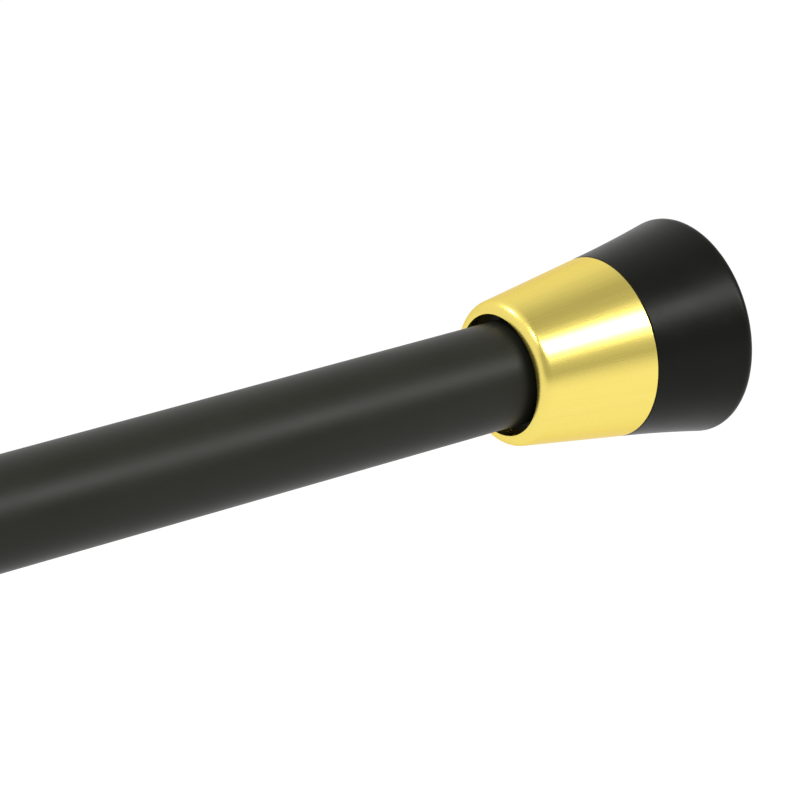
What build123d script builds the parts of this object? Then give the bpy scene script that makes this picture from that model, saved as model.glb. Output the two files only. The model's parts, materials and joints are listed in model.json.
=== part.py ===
from build123d import *
import os
from math import cos, hypot, radians, sqrt, tan

os.makedirs("parts", exist_ok=True)

# Spring tension rod for a shower curtain, in millimetres. It lies along +X between two walls.
# The origin is the centre of the wall face of the foot on the outer tube, and +Z is up.
# A foot, a plug and a collar end each tube. The inner tube telescopes in the outer one, and
# twisting it turns an eccentric cam that locks it there. A spring then presses the feet apart.

# Clearances
press_clearance = 0.05  # radial, between pieces that are pressed or seated together
slide_clearance = 0.1  # radial, between pieces that slide or turn in one another
end_clearance = 0.15  # axial, beside a piece that turns
seat_clearance = 0.1  # axial, at each end of the spring
running_gap = 3.0  # left between pieces that come together at the end of a travel

# Rod
wall_span = 1220.0  # from wall to wall, as it is set at rest
closing_travel = 153.0  # how far the tubes close up from that setting
spring_travel = 30.0
outer_tube_diameter = 25.4
tube_wall = 0.7

# Bush in the mouth of the outer tube
bush_wall = 0.75
bush_length = 25.0
nose_length = 4.0
nose_step = 0.3  # how far the nose stands out from the tube
nose_chamfer = 1.0

# Collar
collar_length = 27.0
collar_wall = 0.8
collar_taper = 8.5  # degrees
mouth_clearance = 0.2
lip_width = 2.35  # from the edge of the mouth out to the cone
lip_radius = 2.6
lip_flat = 0.1  # least flat left between the lip's bend and its edge

# Foot
foot_length = 23.0
foot_flare = 4.2  # how far the flare spreads from the seam with the collar to the wall
rim_radius = 1.8
pad_thickness = 6.0
grip_groove_count = 3
first_groove_radius = 9.0
groove_pitch = 4.5
groove_width = 1.2
groove_depth = 0.8

# Plug
flange_thickness = 5.0
flange_overhang = 4.0
neck_wall = 1.3
web_thickness = 3.0
front_setback = 5.0  # from the collar's mouth back to the plug
sleeve_wall = 1.6
spigot_length = 26.0
spigot_wall = 2.0
spigot_chamfer = 0.8
rib_count = 8
rib_angle = 12.0  # degrees of the turn that each rib takes
ring_thickness = 3.0

# Lock
cam_thickness = 12.0
cam_clearance = 0.8  # round the cam when it is centred
cam_eccentricity = 3.0
notch_count = 24
notch_width = 1.0
notch_depth = 0.4
post_diameter = 10.0
washer_thickness = 1.0
cam_washer_overlap = 1.5  # how far the washer covers the cam round its post
screw_diameter = 3.5
screw_grip = 18.0  # length of the screw's shank
head_diameter = 7.0
head_height = 2.4
head_chamfer = 0.8
recess_width = 1.0
recess_depth = 1.4
glide_width = 6.0
glide_thickness = 3.0
glide_slit = 2.0
plunger_flange = 3.0
flange_clearance = 0.8

# Key between the tube and the plunger, and the spring behind it
dimple_radius = 3.0
dimple_depth = 1.9
key_floor_clearance = 0.3
dimple_from_end = 10.0
guide_length = 22.0  # of the plunger past its key grooves
plunger_core_diameter = 7.0
spring_wire = 1.9
wire_sides = 8  # flats round the wire, which keep the coils light
spring_clearance = 1.1  # radial, between the coils and the inner tube
spring_coils = 5  # without the closed turn at each end
spring_pitch = 11.7
closed_pitch = 2.25  # of the closed turn at each end
pilot_clearance = 0.4
pilot_length = 10.0
stop_thickness = 8.0

# Radii of the rod
outer_tube_radius = outer_tube_diameter / 2
outer_bore_radius = outer_tube_radius - tube_wall
bush_radius = outer_bore_radius - press_clearance
bush_bore_radius = bush_radius - bush_wall
nose_radius = outer_tube_radius + nose_step
inner_tube_radius = bush_bore_radius - slide_clearance
inner_bore_radius = inner_tube_radius - tube_wall

# Radii of the end fitting, and depths measured from its wall face
fitting_length = foot_length + collar_length
taper_slope = tan(radians(collar_taper))
collar_skin = collar_wall / cos(radians(collar_taper))  # the wall, measured square to the rod
mouth_radius = outer_tube_radius + mouth_clearance
front_radius = mouth_radius + lip_width
lip_room = (lip_width - lip_flat) / tan(radians((90 - collar_taper) / 2))
lip_bend = min(lip_radius, lip_room)
seam_radius = front_radius + collar_length * taper_slope
rim_outer_radius = seam_radius + foot_flare
neck_radius = outer_tube_radius + press_clearance + neck_wall
flange_radius = neck_radius + flange_overhang
flange_depth = pad_thickness + flange_thickness
tube_end_depth = flange_depth + web_thickness
spigot_end_depth = tube_end_depth + spigot_length
plug_front_depth = fitting_length - front_setback

# Places along the rod
free_mouth = wall_span - fitting_length
outer_tube_end = free_mouth - closing_travel - spring_travel - running_gap - nose_length
inner_tube_end = wall_span - tube_end_depth
screw_head_start = spigot_end_depth + closing_travel + running_gap
cam_washer_start = screw_head_start + head_height
post_end = cam_washer_start + washer_thickness
cam_start = post_end + end_clearance
front_flange_start = cam_start + cam_thickness + end_clearance
hub_start = front_flange_start + plunger_flange
glide_start = hub_start + end_clearance
hub_end = glide_start + glide_width + end_clearance
rear_flange_end = hub_end + plunger_flange
inner_tube_start = rear_flange_end + spring_travel + running_gap
key_dimple = inner_tube_start + dimple_from_end
key_radius = dimple_radius + slide_clearance
shank_end = key_dimple + key_radius + guide_length
spring_start = shank_end + washer_thickness + seat_clearance
spring_end = spring_start + spring_coils * spring_pitch + 2 * closed_pitch
stop_start = spring_end + seat_clearance
stop_end = stop_start + stop_thickness
stop_dimple = stop_end + dimple_radius

# Radii in the lock and spring
cam_radius = outer_bore_radius - cam_clearance
post_radius = post_diameter / 2
flange_edge_radius = outer_bore_radius - flange_clearance
glide_radius = outer_bore_radius - slide_clearance
glide_bore_radius = glide_radius - glide_thickness
hub_radius = glide_bore_radius - slide_clearance
shank_radius = inner_bore_radius - slide_clearance
key_floor = inner_bore_radius - dimple_depth - key_floor_clearance
dimple_centre = inner_bore_radius - dimple_depth + dimple_radius
spring_reach = inner_bore_radius - spring_clearance - spring_wire / 2  # to the middle of the wire
spring_radius = sqrt(spring_reach**2 - (spring_pitch / 4) ** 2)  # where two half turns meet
pilot_radius = spring_radius - spring_wire / 2 - pilot_clearance
spring_washer_radius = spring_reach + spring_wire / 2

# Wall planes, with local X running from the wall along the rod and local Y across it
fixed_wall = Plane(origin=(0, 0, 0), x_dir=(1, 0, 0), z_dir=(0, 0, 1))
free_wall = Plane(origin=(wall_span, 0, 0), x_dir=(-1, 0, 0), z_dir=(0, 0, 1))


def rod_axis(wall):
    return Axis(wall.origin, wall.x_dir)


def collar_outside(depth):
    return seam_radius - (depth - foot_length) * taper_slope


def write(piece, name):
    piece.label = name
    export_step(piece, f"parts/{name}.step")


# Collar: a spun sheet cone with its front rolled in to a round lip
def make_collar(wall, name):
    inner_front = fitting_length - collar_wall
    with BuildPart() as collar:
        with BuildSketch(wall):
            with BuildLine():
                FilletPolyline(
                    (foot_length, seam_radius),
                    (fitting_length, front_radius),
                    (fitting_length, mouth_radius),
                    (inner_front, mouth_radius),
                    (inner_front, collar_outside(inner_front) - collar_skin),
                    (foot_length, seam_radius - collar_skin),
                    radius=[0, lip_bend, 0, 0, lip_bend - collar_wall, 0],
                    close=True,
                )
            make_face()
        revolve(axis=rod_axis(wall))
    write(collar.part, name)


# Foot: a flared rubber cup, hooked over the plug's flange, with ring grooves in its wall face
def make_foot(wall, name):
    seam = (foot_length, seam_radius)
    rim = (0, rim_outer_radius)
    with BuildPart() as foot:
        with BuildSketch(wall) as section:
            with BuildLine():
                TangentArc(seam, rim, tangent=(-1, taper_slope))
                Polyline(
                    rim,
                    (0, 0),
                    (pad_thickness, 0),
                    (pad_thickness, flange_radius + press_clearance),
                    (flange_depth, flange_radius + press_clearance),
                    (flange_depth, neck_radius + press_clearance),
                    (foot_length, neck_radius + press_clearance),
                    seam,
                )
            make_face()
            fillet(section.vertices().sort_by(Axis.Y)[-1], rim_radius)
        revolve(axis=rod_axis(wall))
        with BuildSketch(wall):
            for ring in range(grip_groove_count):
                with Locations((0, first_groove_radius + ring * groove_pitch)):
                    Rectangle(2 * groove_depth, groove_width)
        revolve(axis=rod_axis(wall), mode=Mode.SUBTRACT)
    write(foot.part, name)


# Plug: a moulded socket for the tube, flanged for the foot and ribbed under the collar
def make_plug(wall, tube_radius, name):
    socket_radius = tube_radius + press_clearance
    spigot_radius = tube_radius - tube_wall - press_clearance
    spigot_bore = spigot_radius - spigot_wall
    seat_inset = collar_skin + press_clearance
    rib_start = foot_length + ring_thickness
    rib_end = plug_front_depth - ring_thickness
    with BuildPart() as plug:
        with BuildSketch(wall):
            with BuildLine():
                Polyline(
                    (pad_thickness, 0),
                    (pad_thickness, flange_radius),
                    (flange_depth, flange_radius),
                    (flange_depth, neck_radius),
                    (foot_length, neck_radius),
                    (foot_length, seam_radius - seat_inset),
                    (plug_front_depth, collar_outside(plug_front_depth) - seat_inset),
                    (plug_front_depth, socket_radius),
                    (tube_end_depth, socket_radius),
                    (tube_end_depth, spigot_radius),
                    (spigot_end_depth - spigot_chamfer, spigot_radius),
                    (spigot_end_depth, spigot_radius - spigot_chamfer),
                    (spigot_end_depth, spigot_bore),
                    (flange_depth, spigot_bore),
                    (flange_depth, 0),
                    close=True,
                )
            make_face()
        revolve(axis=rod_axis(wall))
        for rib in range(rib_count):
            with BuildSketch(wall.rotated((rib * 360 / rib_count, 0, 0))):
                with BuildLine():
                    Polyline(
                        (rib_start, socket_radius + sleeve_wall),
                        (rib_start, seam_radius),
                        (rib_end, seam_radius),
                        (rib_end, socket_radius + sleeve_wall),
                        close=True,
                    )
                make_face()
            revolve(
                axis=rod_axis(wall),
                revolution_arc=360 / rib_count - rib_angle,
                mode=Mode.SUBTRACT,
            )
    write(plug.part, name)


for wall, tube_radius, side in (
    (fixed_wall, outer_tube_radius, "fixed"),
    (free_wall, inner_tube_radius, "free"),
):
    make_collar(wall, f"{side}_collar")
    make_foot(wall, f"{side}_foot")
    make_plug(wall, tube_radius, f"{side}_plug")

# Outer tube
with BuildPart() as outer_tube:
    with BuildSketch(Plane.YZ.offset(tube_end_depth)):
        Circle(outer_tube_radius)
        Circle(outer_bore_radius, mode=Mode.SUBTRACT)
    extrude(amount=outer_tube_end - tube_end_depth)
write(outer_tube.part, "outer_tube")

# Mouth bush: a thin liner in the outer tube's mouth with a chamfered nose against its end
with BuildPart() as mouth_bush:
    with BuildSketch(Plane.XY):
        with BuildLine():
            Polyline(
                (outer_tube_end - bush_length, bush_bore_radius),
                (outer_tube_end - bush_length, bush_radius),
                (outer_tube_end, bush_radius),
                (outer_tube_end, nose_radius),
                (outer_tube_end + nose_length - nose_chamfer, nose_radius),
                (outer_tube_end + nose_length, nose_radius - nose_chamfer),
                (outer_tube_end + nose_length, bush_bore_radius),
                close=True,
            )
        make_face()
    revolve(axis=Axis.X)
write(mouth_bush.part, "mouth_bush")

# Inner tube: two dimples at its start key it to the plunger, and two more hold the spring stop
dimple_places = [
    (place, side * dimple_centre, 0) for place in (key_dimple, stop_dimple) for side in (-1, 1)
]
with BuildPart() as inner_bore:
    with BuildSketch(Plane.YZ.offset(inner_tube_start)):
        Circle(inner_bore_radius)
    extrude(amount=inner_tube_end - inner_tube_start)
    with Locations(dimple_places):
        Sphere(dimple_radius, mode=Mode.SUBTRACT)

with BuildPart() as inner_tube:
    with BuildSketch(Plane.YZ.offset(inner_tube_start)):
        Circle(inner_tube_radius)
    extrude(amount=inner_tube_end - inner_tube_start)
    add(inner_bore.part, mode=Mode.SUBTRACT)
    with Locations(dimple_places):
        Sphere(dimple_radius - tube_wall, mode=Mode.SUBTRACT)
write(inner_tube.part, "inner_tube")

# Glide ring: a split ring that centres the plunger in the outer tube
with BuildPart() as glide_ring:
    with BuildSketch(Plane.YZ.offset(glide_start)):
        Circle(glide_radius)
        Circle(glide_bore_radius, mode=Mode.SUBTRACT)
        with Locations((0, glide_radius)):
            Rectangle(glide_slit, 2 * (glide_thickness + glide_slit), mode=Mode.SUBTRACT)
    extrude(amount=glide_width)
write(glide_ring.part, "glide_ring")

# Plunger: a spool for the glide ring with an off-centre post, and a shank keyed in the inner tube
with BuildPart() as plunger:
    with BuildSketch(Plane.XY):
        with BuildLine():
            Polyline(
                (front_flange_start, 0),
                (front_flange_start, flange_edge_radius),
                (hub_start, flange_edge_radius),
                (hub_start, hub_radius),
                (hub_end, hub_radius),
                (hub_end, flange_edge_radius),
                (rear_flange_end, flange_edge_radius),
                (rear_flange_end, shank_radius),
                (shank_end, shank_radius),
                (shank_end, pilot_radius),
                (shank_end + washer_thickness + pilot_length, pilot_radius),
                (shank_end + washer_thickness + pilot_length, plunger_core_diameter / 2),
                (rear_flange_end, plunger_core_diameter / 2),
                (rear_flange_end, 0),
                close=True,
            )
        make_face()
    revolve(axis=Axis.X)
    with BuildSketch(Plane.YZ.offset(post_end)):
        with Locations((0, cam_eccentricity)):
            Circle(post_radius)
    extrude(amount=front_flange_start - post_end)
    with BuildSketch(Plane.YZ.offset(post_end)):
        with Locations((0, cam_eccentricity)):
            Circle(screw_diameter / 2 + press_clearance)
    extrude(amount=screw_grip - washer_thickness + end_clearance, mode=Mode.SUBTRACT)
    for side in (Plane.XZ, -Plane.XZ):
        with BuildSketch(side.offset(key_floor)):
            with Locations(side.to_local_coords(Vector(key_dimple - spring_travel / 2, 0, 0))):
                SlotCenterToCenter(spring_travel, 2 * key_radius)
        extrude(amount=shank_radius, mode=Mode.SUBTRACT)
write(plunger.part, "plunger")

# Cam: an off-centre disc on the post, notched round its edge to bite the outer tube
with BuildPart() as lock_cam:
    with BuildSketch(Plane.YZ.offset(cam_start)):
        Circle(cam_radius)
        with Locations((0, cam_eccentricity)):
            Circle(post_radius + slide_clearance, mode=Mode.SUBTRACT)
        with PolarLocations(cam_radius, notch_count):
            Rectangle(2 * notch_depth, notch_width, mode=Mode.SUBTRACT)
    extrude(amount=cam_thickness)
write(lock_cam.part, "lock_cam")

# Washer that keeps the cam on its post
with BuildPart() as cam_washer:
    with BuildSketch(Plane.YZ.offset(cam_washer_start)):
        with Locations((0, cam_eccentricity)):
            Circle(post_radius + cam_washer_overlap)
            Circle(screw_diameter / 2 + press_clearance, mode=Mode.SUBTRACT)
    extrude(amount=washer_thickness)
write(cam_washer.part, "cam_washer")

# Screw in the end of the post, with a cross recess
with BuildPart() as cam_screw:
    with BuildSketch(Plane.YZ.offset(screw_head_start)):
        with Locations((0, cam_eccentricity)):
            Circle(head_diameter / 2)
    extrude(amount=head_height)
    chamfer(cam_screw.faces().sort_by(Axis.X)[0].edges(), head_chamfer)
    with BuildSketch(Plane.YZ.offset(cam_washer_start)):
        with Locations((0, cam_eccentricity)):
            Circle(screw_diameter / 2)
    extrude(amount=screw_grip)
    with BuildSketch(Plane.YZ.offset(screw_head_start)):
        with Locations((0, cam_eccentricity)):
            Rectangle(recess_width, screw_diameter)
            Rectangle(screw_diameter, recess_width)
    extrude(amount=recess_depth, mode=Mode.SUBTRACT)
write(cam_screw.part, "cam_screw")

# Washer under the spring, on the plunger's end
with BuildPart() as spring_washer:
    with BuildSketch(Plane.YZ.offset(shank_end)):
        Circle(spring_washer_radius)
        Circle(pilot_radius + slide_clearance, mode=Mode.SUBTRACT)
    extrude(amount=washer_thickness)
write(spring_washer.part, "spring_washer")

# Spring: wire with a closed turn at each end, ground flat. Each half turn is a tilted arc, and
# neighbouring arcs share their tangent where they meet.
closed_turn = [closed_pitch / 2] * 2
open_turns = [spring_pitch / 2] * 2 * spring_coils
with BuildPart() as spring:
    with BuildLine() as coil:
        place = spring_start
        side = 1
        for rise in closed_turn + open_turns + closed_turn:
            ThreePointArc(
                (place, 0, side * spring_radius),
                (place + rise / 2, side * hypot(spring_radius, rise / 2), 0),
                (place + rise, 0, -side * spring_radius),
            )
            place += rise
            side = -side
    wire_path = coil.wire()
    with BuildSketch(Plane(origin=wire_path @ 0, z_dir=wire_path % 0)):
        RegularPolygon(spring_wire / 2, wire_sides)
    sweep(path=wire_path)
    split(bisect_by=Plane.YZ.offset(spring_start), keep=Keep.TOP)
    split(bisect_by=Plane.YZ.offset(spring_end), keep=Keep.BOTTOM)
write(spring.part, "spring")

# Spring stop: a plug in the inner tube with a pilot for the spring
with BuildPart() as spring_stop:
    with BuildSketch(Plane.YZ.offset(stop_start)):
        Circle(inner_bore_radius - press_clearance)
    extrude(amount=stop_thickness)
    with BuildSketch(Plane.YZ.offset(stop_start)):
        Circle(pilot_radius)
    extrude(amount=-pilot_length)
write(spring_stop.part, "spring_stop")
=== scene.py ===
import json
from math import atan2, hypot, pi, radians, sin, cos, sqrt, tan

import bmesh
import bpy
from mathutils import Matrix, Quaternion, Vector


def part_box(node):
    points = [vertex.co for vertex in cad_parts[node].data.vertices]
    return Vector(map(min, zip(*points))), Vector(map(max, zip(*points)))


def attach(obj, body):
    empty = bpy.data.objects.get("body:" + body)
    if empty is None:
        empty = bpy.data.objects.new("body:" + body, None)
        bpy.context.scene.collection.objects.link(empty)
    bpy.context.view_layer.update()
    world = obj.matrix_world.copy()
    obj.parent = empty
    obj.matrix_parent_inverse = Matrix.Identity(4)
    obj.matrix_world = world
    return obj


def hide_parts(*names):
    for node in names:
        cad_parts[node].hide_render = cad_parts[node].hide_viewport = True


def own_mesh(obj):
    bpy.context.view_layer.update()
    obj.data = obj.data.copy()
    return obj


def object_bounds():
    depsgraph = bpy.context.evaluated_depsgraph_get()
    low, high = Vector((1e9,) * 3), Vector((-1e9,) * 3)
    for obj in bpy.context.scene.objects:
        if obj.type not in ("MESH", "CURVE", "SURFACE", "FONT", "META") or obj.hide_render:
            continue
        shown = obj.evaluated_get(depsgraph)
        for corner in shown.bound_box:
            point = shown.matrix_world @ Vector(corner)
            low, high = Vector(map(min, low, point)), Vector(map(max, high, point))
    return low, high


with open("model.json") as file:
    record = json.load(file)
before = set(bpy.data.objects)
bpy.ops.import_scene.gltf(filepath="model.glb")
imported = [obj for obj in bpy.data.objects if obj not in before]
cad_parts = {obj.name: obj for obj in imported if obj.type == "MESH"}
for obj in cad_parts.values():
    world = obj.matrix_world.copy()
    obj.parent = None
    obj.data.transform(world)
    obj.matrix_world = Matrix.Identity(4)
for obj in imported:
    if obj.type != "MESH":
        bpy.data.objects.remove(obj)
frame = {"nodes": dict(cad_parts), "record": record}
cadLow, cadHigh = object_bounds()
mm = 0.001  # sizes below are in millimetres, meshes in metres


# places that the pieces share, read from the frame
def reach(node):
    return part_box(node)[1].y / mm


def span(node):
    low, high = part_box(node)
    return low.x / mm, high.x / mm


fixedWall, freeWall = cadLow.x / mm, cadHigh.x / mm
outerStart, outerEnd = span("outer_tube")
innerStart, innerEnd = span("inner_tube")
outerRadius, innerRadius = reach("outer_tube"), reach("inner_tube")
footLength = span("fixed_foot")[1] - fixedWall
fittingLength = span("fixed_collar")[1] - fixedWall


# node helpers
def addNode(tree, kind, **sockets):
    node = tree.nodes.new(kind)
    for name, value in sockets.items():
        node.inputs[name].default_value = value
    return node


def join(tree, start, end):
    tree.links.new(start, end)


def mathNode(tree, operation, first, second):
    node = tree.nodes.new("ShaderNodeMath")
    node.operation = operation
    for socket, value in zip(node.inputs, (first, second)):
        if isinstance(value, bpy.types.NodeSocket):
            join(tree, value, socket)
        else:
            socket.default_value = value
    return node.outputs[0]


def vectorNode(tree, operation):
    node = tree.nodes.new("ShaderNodeVectorMath")
    node.operation = operation
    return node


# unless it is stated, the incoming range is the one that most of a noise lies in
def spread(tree, value, low, high, fromLow=0.3, fromHigh=0.7):
    limits = {"From Min": fromLow, "From Max": fromHigh, "To Min": low, "To Max": high}
    node = addNode(tree, "ShaderNodeMapRange", **limits)
    join(tree, value, node.inputs["Value"])
    return node.outputs["Result"]


def mixMasks(tree, first, second, firstShare):
    firstPart = mathNode(tree, "MULTIPLY", first, firstShare)
    secondPart = mathNode(tree, "MULTIPLY", second, 1 - firstShare)
    return mathNode(tree, "ADD", firstPart, secondPart)


def mixColours(tree, mask, first, second):
    node = tree.nodes.new("ShaderNodeMix")
    node.data_type = "RGBA"
    colours = [socket for socket in node.inputs if socket.type == "RGBA"]
    for socket, colour in zip(colours, (first, second)):
        socket.default_value = (*colour, 1)
    join(tree, mask, node.inputs[0])
    return next(socket for socket in node.outputs if socket.type == "RGBA")


def newGroup(name, inputs, outputs):
    group = bpy.data.node_groups.new(name, "ShaderNodeTree")
    for label, kind in inputs.items():
        group.interface.new_socket(label, in_out="INPUT", socket_type=kind)
    for label in outputs:
        group.interface.new_socket(label, in_out="OUTPUT", socket_type="NodeSocketFloat")
    return group, group.nodes.new("NodeGroupInput"), group.nodes.new("NodeGroupOutput")


# fine moulded or sprayed grain, with slow cloudy patches over it
grainSet = {"grainDetail": 3.0, "patchDetail": 4.0, "roughness": 0.55, "patchShare": 0.7}


def makeGrain():
    group, given, made = newGroup(
        "fineGrain",
        {
            "Vector": "NodeSocketVector",
            "Grain Size": "NodeSocketFloat",
            "Patch Size": "NodeSocketFloat",
        },
        ["Grain", "Patches"],
    )
    for label, size, detail in (
        ("Grain", "Grain Size", grainSet["grainDetail"]),
        ("Patches", "Patch Size", grainSet["patchDetail"]),
    ):
        noise = addNode(group, "ShaderNodeTexNoise", Detail=detail, Roughness=grainSet["roughness"])
        join(group, given.outputs["Vector"], noise.inputs["Vector"])
        join(group, mathNode(group, "DIVIDE", 1 / mm, given.outputs[size]), noise.inputs["Scale"])
        join(group, noise.outputs["Fac"], made.inputs[label])
    return group


# streaks that run along the rod, the same all the way down a cone
streakSet = {"broadScale": 0.16, "detail": 3.0, "roughness": 0.6, "fineShare": 0.6}


def makeStreaks():
    group, given, made = newGroup(
        "drawnStreaks",
        {
            "Vector": "NodeSocketVector",
            "Round The Rod": "NodeSocketFloat",
            "Along The Rod": "NodeSocketFloat",
        },
        ["Fine", "Broad"],
    )
    place = addNode(group, "ShaderNodeSeparateXYZ")
    join(group, given.outputs["Vector"], place.inputs[0])
    across = addNode(group, "ShaderNodeCombineXYZ")
    join(group, place.outputs["Y"], across.inputs["Y"])
    join(group, place.outputs["Z"], across.inputs["Z"])
    aim = vectorNode(group, "NORMALIZE")
    join(group, across.outputs[0], aim.inputs[0])
    for label, scale in (("Fine", 1.0), ("Broad", streakSet["broadScale"])):
        turned = vectorNode(group, "SCALE")
        join(group, aim.outputs[0], turned.inputs[0])
        roundRod = mathNode(group, "MULTIPLY", given.outputs["Round The Rod"], scale)
        join(group, roundRod, turned.inputs["Scale"])
        along = addNode(group, "ShaderNodeCombineXYZ")
        alongRod = mathNode(group, "MULTIPLY", given.outputs["Along The Rod"], scale)
        join(group, mathNode(group, "MULTIPLY", place.outputs["X"], alongRod), along.inputs["X"])
        total = vectorNode(group, "ADD")
        join(group, turned.outputs[0], total.inputs[0])
        join(group, along.outputs[0], total.inputs[1])
        noise = addNode(
            group,
            "ShaderNodeTexNoise",
            Scale=1.0,
            Detail=streakSet["detail"],
            Roughness=streakSet["roughness"],
        )
        join(group, total.outputs[0], noise.inputs["Vector"])
        join(group, noise.outputs["Fac"], made.inputs[label])
    return group


fineGrain = makeGrain()
drawnStreaks = makeStreaks()
print("node groups: fineGrain, drawnStreaks")


# one finish: a Principled shader with its group, ready for colour, roughness and bump links
def startFinish(name, group, settings):
    material = bpy.data.materials.new(name)
    material.use_nodes = True
    tree = material.node_tree
    shader = tree.nodes["Principled BSDF"]
    for label, value in settings.items():
        shader.inputs[label].default_value = value
    place = tree.nodes.new("ShaderNodeTexCoord")
    effect = tree.nodes.new("ShaderNodeGroup")
    effect.node_tree = group
    join(tree, place.outputs["Object"], effect.inputs["Vector"])
    return material, tree, shader, effect


def addBump(tree, shader, height, depth):
    bump = addNode(tree, "ShaderNodeBump", Strength=1.0, Distance=depth * mm)
    join(tree, height, bump.inputs["Height"])
    join(tree, bump.outputs["Normal"], shader.inputs["Normal"])


# dull finishes: paint, rubber and plastics
def makeDull(name, look):
    material, tree, shader, effect = startFinish(name, fineGrain, look["shader"])
    effect.inputs["Grain Size"].default_value = look["grainSize"]
    effect.inputs["Patch Size"].default_value = look["patchSize"]
    patches = spread(tree, effect.outputs["Patches"], 0, 1)
    grain = spread(tree, effect.outputs["Grain"], 0, 1)
    mottle = mixMasks(tree, patches, grain, grainSet["patchShare"])
    join(tree, mixColours(tree, mottle, *look["colours"]), shader.inputs["Base Color"])
    join(tree, spread(tree, mottle, *look["roughness"], 0, 1), shader.inputs["Roughness"])
    addBump(tree, shader, effect.outputs["Grain"], look["bump"])
    return material


# drawn metal: satin gold plating and zinc plated steel
def makeMetal(name, look):
    material, tree, shader, effect = startFinish(name, drawnStreaks, look["shader"])
    effect.inputs["Round The Rod"].default_value = look["streaksRound"]
    effect.inputs["Along The Rod"].default_value = look["streaksAlong"]
    fine = spread(tree, effect.outputs["Fine"], 0, 1)
    broad = spread(tree, effect.outputs["Broad"], 0, 1)
    streaks = mixMasks(tree, fine, broad, streakSet["fineShare"])
    join(tree, mixColours(tree, streaks, *look["colours"]), shader.inputs["Base Color"])
    join(tree, spread(tree, streaks, *look["roughness"], 0, 1), shader.inputs["Roughness"])
    addBump(tree, shader, effect.outputs["Fine"], look["bump"])
    return material


# grain, patches and bump are in millimetres, streaks along the rod per metre
paintLook = {
    "shader": {"Specular IOR Level": 0.175},
    "colours": ((0.0150, 0.0150, 0.0105), (0.0185, 0.0185, 0.0140)),
    "roughness": (0.40, 0.46),
    "grainSize": 0.35,
    "patchSize": 18.0,
    "bump": 0.012,
}
rubberLook = {
    "shader": {"Specular IOR Level": 0.118},
    "colours": ((0.0046, 0.0046, 0.0031), (0.0064, 0.0064, 0.0048)),
    "roughness": (0.31, 0.38),
    "grainSize": 0.3,
    "patchSize": 9.0,
    "bump": 0.015,
}
darkPlasticLook = {
    "shader": {"Specular IOR Level": 0.5},
    "colours": ((0.012, 0.012, 0.012), (0.018, 0.018, 0.017)),
    "roughness": (0.42, 0.55),
    "grainSize": 0.25,
    "patchSize": 7.0,
    "bump": 0.015,
}
palePlasticLook = {
    "shader": {"Specular IOR Level": 0.5, "Subsurface Weight": 0.05, "Subsurface Scale": 0.002},
    "colours": ((0.66, 0.64, 0.57), (0.74, 0.72, 0.66)),
    "roughness": (0.38, 0.5),
    "grainSize": 0.3,
    "patchSize": 6.0,
    "bump": 0.01,
}
goldLook = {
    "shader": {"Metallic": 1.0, "Specular Tint": (0.88, 0.77, 0.52, 1.0)},
    "colours": ((0.84, 0.68, 0.158), (0.89, 0.73, 0.188)),
    "roughness": (0.24, 0.29),
    "streaksRound": 90.0,
    "streaksAlong": 60.0,
    "bump": 0.0025,
}
zincLook = {
    "shader": {"Metallic": 1.0},
    "colours": ((0.50, 0.51, 0.52), (0.62, 0.63, 0.64)),
    "roughness": (0.28, 0.42),
    "streaksRound": 40.0,
    "streaksAlong": 160.0,
    "bump": 0.006,
}
finishes = {
    "black_paint": makeDull("blackPaint", paintLook),
    "black_rubber": makeDull("blackRubber", rubberLook),
    "black_plastic": makeDull("blackPlastic", darkPlasticLook),
    "pale_plastic": makeDull("palePlastic", palePlasticLook),
    "satin_gold": makeMetal("satinGold", goldLook),
    "zinc_steel": makeMetal("zincSteel", zincLook),
}
print("finishes:", ", ".join(finishes))

slots = {part["node"]: part["material_slot"] for part in frame["record"]["subparts"]}
for nodeName, node in frame["nodes"].items():
    for materialSlot in node.material_slots:
        materialSlot.material = finishes[slots[nodeName]]


def addObject(name, data):
    item = bpy.data.objects.new(name, data)
    bpy.context.scene.collection.objects.link(item)
    return item


# modelling helpers: a section is drawn as (along, radius, rounding) corners beside the rod's axis
turning = {
    "steps": 144,
    "roundSegments": 8,
    "longRun": 1.2,
    "holdLength": 0.12,
    "mergeDistance": 0.00005 * mm,
    "sharpAngle": 35.0,
}


def drawSection(bm, corners, closed=True):
    points = [
        bmesh.ops.create_vert(bm, co=(along * mm, 0, radius * mm))["vert"][0]
        for along, radius, _ in corners
    ]
    following = points[1:] + points[:1] if closed else points[1:]
    for start, end in zip(points, following):
        bm.edges.new((start, end))
    for point, (_, _, rounding) in zip(points, corners):
        if rounding:
            roundCorner(bm, point, rounding)
    holdStraights(bm)


def roundCorner(bm, point, rounding):
    toFirst, toSecond = ((edge.other_vert(point).co - point.co) for edge in point.link_edges)
    tangentLength = rounding * mm / tan(toFirst.angle(toSecond) / 2)
    bmesh.ops.bevel(
        bm,
        geom=[point],
        offset=tangentLength,
        offset_type="ABSOLUTE",
        affect="VERTICES",
        segments=turning["roundSegments"],
        profile=0.5,
        material=-1,
        clamp_overlap=False,
    )


# a short step at each end of a long straight keeps its shading flat
def holdStraights(bm):
    hold = turning["holdLength"] * mm
    for edge in [edge for edge in bm.edges if edge.calc_length() > turning["longRun"] * mm]:
        for end in edge.verts[:]:
            bmesh.utils.edge_split(edge, end, hold / edge.calc_length())


def turnSection(bm):
    bmesh.ops.spin(
        bm,
        geom=bm.verts[:] + bm.edges[:],
        cent=(0, 0, 0),
        axis=(1, 0, 0),
        dvec=(0, 0, 0),
        angle=2 * pi,
        steps=turning["steps"],
        use_merge=True,
    )
    closeMesh(bm)


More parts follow.
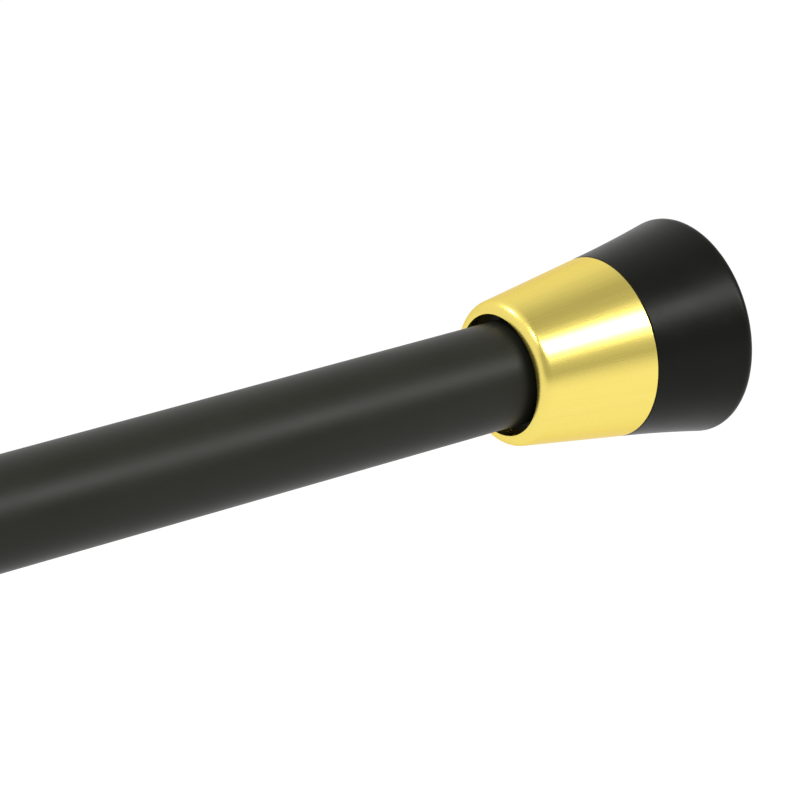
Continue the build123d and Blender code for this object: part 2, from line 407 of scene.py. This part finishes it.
def closeMesh(bm):
    bmesh.ops.remove_doubles(bm, verts=bm.verts, dist=turning["mergeDistance"])
    bmesh.ops.recalc_face_normals(bm, faces=bm.faces)


def finishPiece(bm, name, body, node):
    mesh = bpy.data.meshes.new(name)
    bm.to_mesh(mesh)
    bm.free()
    mesh.shade_smooth()
    mesh.set_sharp_from_angle(angle=radians(turning["sharpAngle"]))
    mesh.materials.append(finishes[slots[node]])
    piece = addObject(name, mesh)
    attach(piece, body)
    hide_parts(node)
    return piece


# an end fitting is drawn with its wall at zero, then set against the wall it belongs to
def setAgainstWall(bm, side):
    if side == "free":
        turned = Matrix.Translation((freeWall * mm, 0, 0)) @ Matrix.Rotation(pi, 4, "Z")
        bmesh.ops.transform(bm, matrix=turned, verts=bm.verts)
    else:
        bmesh.ops.translate(bm, vec=(fixedWall * mm, 0, 0), verts=bm.verts)


# collar: a spun cone of sheet whose front rolls in to a soft lip round the tube
collarSizes = {
    "wall": 0.8,
    "taper": 8.5,
    "mouthGap": 0.2,
    "lipBend": 2.6,
    "lipEdge": 0.1,
    "seamEdge": 0.25,
}


def makeCollar(side, body):
    size = collarSizes
    slope = tan(radians(size["taper"]))
    skin = size["wall"] / cos(radians(size["taper"]))
    seam = reach(f"{side}_collar")
    front = seam - (fittingLength - footLength) * slope
    mouth = outerRadius + size["mouthGap"]
    innerFront = fittingLength - size["wall"]
    innerCorner = front + size["wall"] * slope - skin
    bm = bmesh.new()
    drawSection(
        bm,
        [
            (footLength, seam, size["seamEdge"]),
            (fittingLength, front, size["lipBend"]),
            (fittingLength, mouth, size["lipEdge"]),
            (innerFront, mouth, size["lipEdge"]),
            (innerFront, innerCorner, size["lipBend"] - size["wall"]),
            (footLength, seam - skin, 0),
        ],
    )
    turnSection(bm)
    setAgainstWall(bm, side)
    finishPiece(bm, f"{side}Collar", body, f"{side}_collar")


# foot: a flared rubber cup with a soft rim and ring grooves in its wall face
footSizes = {
    "flare": 4.2,
    "flareRound": 280.0,
    "rimRound": 1.8,
    "seamEdge": 0.3,
    "pad": 6.0,
    "flangeDepth": 11.0,
    "flangeRadius": 18.1,
    "neckRadius": 14.1,
    "grooves": (9.0, 13.5, 18.0),
    "grooveWidth": 1.2,
    "grooveDepth": 0.8,
    "grooveEdge": 0.2,
}


def makeFoot(side, body):
    size = footSizes
    seam = reach(f"{side}_collar")
    rim = seam + size["flare"]
    taper = radians(collarSizes["taper"])  # the foot leaves the seam in line with the collar
    bendAngle = atan2(size["flare"], footLength) - taper
    toBend = hypot(footLength, size["flare"]) / 2 / cos(bendAngle)
    bend = (footLength - toBend * cos(taper), seam + toBend * sin(taper))
    wallFace = [(0, 0, 0)]
    for middle in size["grooves"]:
        low, high = middle - size["grooveWidth"] / 2, middle + size["grooveWidth"] / 2
        wallFace += [
            (0, low, size["grooveEdge"]),
            (size["grooveDepth"], low, size["grooveEdge"]),
            (size["grooveDepth"], high, size["grooveEdge"]),
            (0, high, size["grooveEdge"]),
        ]
    outside = [
        (0, rim, size["rimRound"]),
        (*bend, size["flareRound"]),
        (footLength, seam, size["seamEdge"]),
    ]
    hollow = [
        (footLength, size["neckRadius"], 0),
        (size["flangeDepth"], size["neckRadius"], 0),
        (size["flangeDepth"], size["flangeRadius"], 0),
        (size["pad"], size["flangeRadius"], 0),
        (size["pad"], 0, 0),
    ]
    bm = bmesh.new()
    drawSection(bm, wallFace + outside + hollow, closed=False)
    turnSection(bm)
    setAgainstWall(bm, side)
    finishPiece(bm, f"{side}Foot", body, f"{side}_foot")


for side, body in (("fixed", "outer_section"), ("free", "inner_section")):
    makeCollar(side, body)
    makeFoot(side, body)
print("end fittings: two collars, two feet")

# tubes, with broken edges
tubeSizes = {"wall": 0.7, "edge": 0.2}


def tubeCorners(start, end, radius):
    bore, edge = radius - tubeSizes["wall"], tubeSizes["edge"]
    return [(start, bore, edge), (start, radius, edge), (end, radius, edge), (end, bore, edge)]


def makeOuterTube():
    bm = bmesh.new()
    drawSection(bm, tubeCorners(outerStart, outerEnd, outerRadius))
    turnSection(bm)
    finishPiece(bm, "outerTube", "outer_section", "outer_tube")


# dimples pressed into the inner tube: dense rings first, then both faces of the wall pushed in to balls
dimples = {
    "fromStart": (10.0, 110.3),
    "inside": 3.0,
    "depth": 1.9,
    "ringSpacing": 0.4,
    "ringReach": 3.2,
}


def makeInnerTube():
    bm = bmesh.new()
    drawSection(bm, tubeCorners(innerStart, innerEnd, innerRadius))
    turnSection(bm)
    bore = innerRadius - tubeSizes["wall"]
    centre = bore - dimples["depth"] + dimples["inside"]
    for place in dimples["fromStart"]:
        middle = innerStart + place
        ringCount = round(dimples["ringReach"] / dimples["ringSpacing"])
        for ring in range(-ringCount, ringCount + 1):
            bmesh.ops.bisect_plane(
                bm,
                geom=bm.verts[:] + bm.edges[:] + bm.faces[:],
                plane_co=((middle + ring * dimples["ringSpacing"]) * mm, 0, 0),
                plane_no=(1, 0, 0),
            )
        for point in bm.verts:
            pushDimple(point, middle, centre, bore)
    closeMesh(bm)
    finishPiece(bm, "innerTube", "inner_section", "inner_tube")


def pushDimple(point, middle, centre, bore):
    onBore = hypot(point.co.y, point.co.z) / mm < bore + tubeSizes["wall"] / 2
    ball = dimples["inside"] if onBore else dimples["inside"] - tubeSizes["wall"]
    fromMiddle = hypot(point.co.x / mm - middle, point.co.z / mm)
    if fromMiddle < ball:
        side = 1 if point.co.y > 0 else -1
        pressed = centre - sqrt(ball**2 - fromMiddle**2)
        point.co.y = side * min(abs(point.co.y), pressed * mm)


makeOuterTube()
makeInnerTube()
print("tubes: outer, inner")

# bush in the outer tube's mouth, with a soft nose
bushSizes = {"wall": 0.75, "fit": 0.05, "noseRound": 1.1, "noseEdge": 0.25}


def makeBush():
    size = bushSizes
    start, end = span("mouth_bush")
    sleeveRadius = outerRadius - tubeSizes["wall"] - size["fit"]
    bore = sleeveRadius - size["wall"]
    nose = reach("mouth_bush")
    bm = bmesh.new()
    drawSection(
        bm,
        [
            (start, bore, 0),
            (start, sleeveRadius, 0),
            (outerEnd, sleeveRadius, 0),
            (outerEnd, nose, size["noseEdge"]),
            (end, nose, size["noseRound"]),
            (end, bore, size["noseEdge"]),
        ],
    )
    turnSection(bm)
    finishPiece(bm, "mouthBush", "outer_section", "mouth_bush")


makeBush()

# spring: round wire wound with a closed turn at each end, ground flat
springSizes = {
    "wire": 1.9,
    "radius": 7.95,
    "coils": 5,
    "closedPitch": 2.25,
    "wireSides": 16,
    "turnSteps": 48,
}


def makeSpring():
    size = springSizes
    start, end = span("spring")
    openPitch = (end - start - 2 * size["closedPitch"]) / size["coils"]
    bm = bmesh.new()
    upright = Matrix.Translation((start * mm, 0, size["radius"] * mm)) @ Matrix.Rotation(pi / 2, 4, "X")
    bmesh.ops.create_circle(bm, segments=size["wireSides"], radius=size["wire"] / 2 * mm, matrix=upright)
    wireEnd = bm.verts[:] + bm.edges[:]
    bmesh.ops.edgeloop_fill(bm, edges=bm.edges[:])
    for turns, pitch in ((1, size["closedPitch"]), (size["coils"], openPitch), (1, size["closedPitch"])):
        wound = bmesh.ops.spin(
            bm,
            geom=wireEnd,
            cent=(start * mm, 0, 0),
            axis=(1, 0, 0),
            dvec=(pitch / size["turnSteps"] * mm, 0, 0),
            angle=2 * pi * turns,
            steps=size["turnSteps"] * turns,
        )
        wireEnd = wound["geom_last"]
    bmesh.ops.edgeloop_fill(bm, edges=[item for item in wireEnd if isinstance(item, bmesh.types.BMEdge)])
    for place, clearOuter in ((start, False), (end, True)):
        bmesh.ops.bisect_plane(
            bm,
            geom=bm.verts[:] + bm.edges[:] + bm.faces[:],
            dist=turning["mergeDistance"],
            plane_co=(place * mm, 0, 0),
            plane_no=(1, 0, 0),
            clear_outer=clearOuter,
            clear_inner=not clearOuter,
        )
    bmesh.ops.holes_fill(bm, edges=[edge for edge in bm.edges if edge.is_boundary], sides=0)
    closeMesh(bm)
    piece = finishPiece(bm, "coilSpring", "inner_section", "spring")
    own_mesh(piece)


makeSpring()
print("bush and spring")

# camera and lamps are placed from the middle of the free collar's mouth
mouthMiddle = Vector(((freeWall - fittingLength) * mm, 0, 0))


def setUp(item, offset, back, roll):
    item.location = mouthMiddle + offset * mm
    item.rotation_mode = "QUATERNION"
    item.rotation_quaternion = back.to_track_quat("Z", "Y") @ Quaternion((0, 0, 1), radians(roll))


cameraSet = {
    "azimuth": -36.59,
    "elevation": 22.3,
    "roll": 0.195,
    "sensor": 36.0,
    "lens": 199.07,
    "distance": 913.05,
    "right": -20.28,
    "up": -5.2,
}


def makeCamera():
    turn, tilt = radians(cameraSet["azimuth"]), radians(cameraSet["elevation"])
    back = Vector((sin(turn) * cos(tilt), -cos(turn) * cos(tilt), sin(tilt)))
    right = Vector((cos(turn), sin(turn), 0))
    up = back.cross(right)
    data = bpy.data.cameras.new("photoCamera")
    data.sensor_width = cameraSet["sensor"]
    data.lens = cameraSet["lens"]
    camera = addObject("photoCamera", data)
    offset = right * cameraSet["right"] + up * cameraSet["up"] + back * cameraSet["distance"]
    setUp(camera, offset, back, cameraSet["roll"])
    bpy.context.scene.camera = camera


makeCamera()

# studio: a white floor, soft lamps and a sky that is brighter behind and to the left of the rod;
# the floor's radius and the sizes of the lamps are in metres
studio = {
    "floorDrop": 220.0,
    "floorRadius": 40.0,
    "floorSides": 96,
    "floorColour": (0.2, 0.2, 0.2),
    "floorGlow": 0.83,
    "skyColour": (1.0, 1.0, 1.0),
    "skyDim": 0.48,
    "skyBright": 1.0,
    "skyAim": (-0.8, 1.0, 0.0),
    "skyTurn": (-0.2, 0.35),
}
lamps = {
    "softBox": {"place": (539.0, -960.0, 928.0), "size": (1.1, 0.31), "roll": -40.0, "watts": 14.2},
    "topPanel": {"place": (-500.0, -400.0, 1120.0), "size": (0.2, 0.2), "roll": 0.0, "watts": 2.5},
    "backPanel": {"place": (-450.0, 650.0, 970.0), "size": (0.2, 0.2), "roll": 0.0, "watts": 2.5},
}


def makeFloor():
    bm = bmesh.new()
    bmesh.ops.create_circle(bm, cap_ends=True, segments=studio["floorSides"], radius=studio["floorRadius"])
    bmesh.ops.translate(bm, vec=(0, 0, -studio["floorDrop"] * mm), verts=bm.verts)
    mesh = bpy.data.meshes.new("floor")
    bm.to_mesh(mesh)
    bm.free()
    material = bpy.data.materials.new("whiteFloor")
    material.use_nodes = True
    tree = material.node_tree
    tree.nodes.remove(tree.nodes["Principled BSDF"])
    paper = addNode(tree, "ShaderNodeBsdfDiffuse", Color=(*studio["floorColour"], 1))
    glow = addNode(tree, "ShaderNodeEmission")
    rays = tree.nodes.new("ShaderNodeLightPath")
    seen = mathNode(tree, "MAXIMUM", rays.outputs["Is Camera Ray"], rays.outputs["Is Glossy Ray"])
    seen = mathNode(tree, "MAXIMUM", seen, rays.outputs["Is Transmission Ray"])
    join(tree, mathNode(tree, "MULTIPLY", seen, studio["floorGlow"]), glow.inputs["Strength"])
    lit = tree.nodes.new("ShaderNodeAddShader")
    join(tree, paper.outputs[0], lit.inputs[0])
    join(tree, glow.outputs[0], lit.inputs[1])
    clear = tree.nodes.new("ShaderNodeBsdfTransparent")
    facing = tree.nodes.new("ShaderNodeNewGeometry")
    sheet = tree.nodes.new("ShaderNodeMixShader")
    join(tree, facing.outputs["Backfacing"], sheet.inputs[0])
    join(tree, lit.outputs[0], sheet.inputs[1])
    join(tree, clear.outputs[0], sheet.inputs[2])
    join(tree, sheet.outputs[0], tree.nodes["Material Output"].inputs["Surface"])
    mesh.materials.append(material)
    floor = addObject("floor", mesh)


def makeLamp(name, setting):
    light = bpy.data.lights.new(name, "AREA")
    light.shape = "RECTANGLE"
    light.size, light.size_y = setting["size"]
    light.energy = setting["watts"]
    offset = Vector(setting["place"])
    setUp(addObject(name, light), offset, offset, setting["roll"])


def makeSky():
    world = bpy.data.worlds.new("studioSky")
    world.use_nodes = True
    tree = world.node_tree
    place = tree.nodes.new("ShaderNodeTexCoord")
    across = vectorNode(tree, "DOT_PRODUCT")
    across.inputs[1].default_value = studio["skyAim"]
    join(tree, place.outputs["Generated"], across.inputs[0])
    toward = across.outputs["Value"]
    strength = spread(tree, toward, studio["skyDim"], studio["skyBright"], *studio["skyTurn"])
    join(tree, strength, tree.nodes["Background"].inputs["Strength"])
    tree.nodes["Background"].inputs["Color"].default_value = (*studio["skyColour"], 1)
    bpy.context.scene.world = world


makeFloor()
for lampName, lampSetting in lamps.items():
    makeLamp(lampName, lampSetting)
makeSky()
bpy.context.scene.view_settings.view_transform = "Standard"
print("studio: floor, sky and", len(lamps), "lamps")
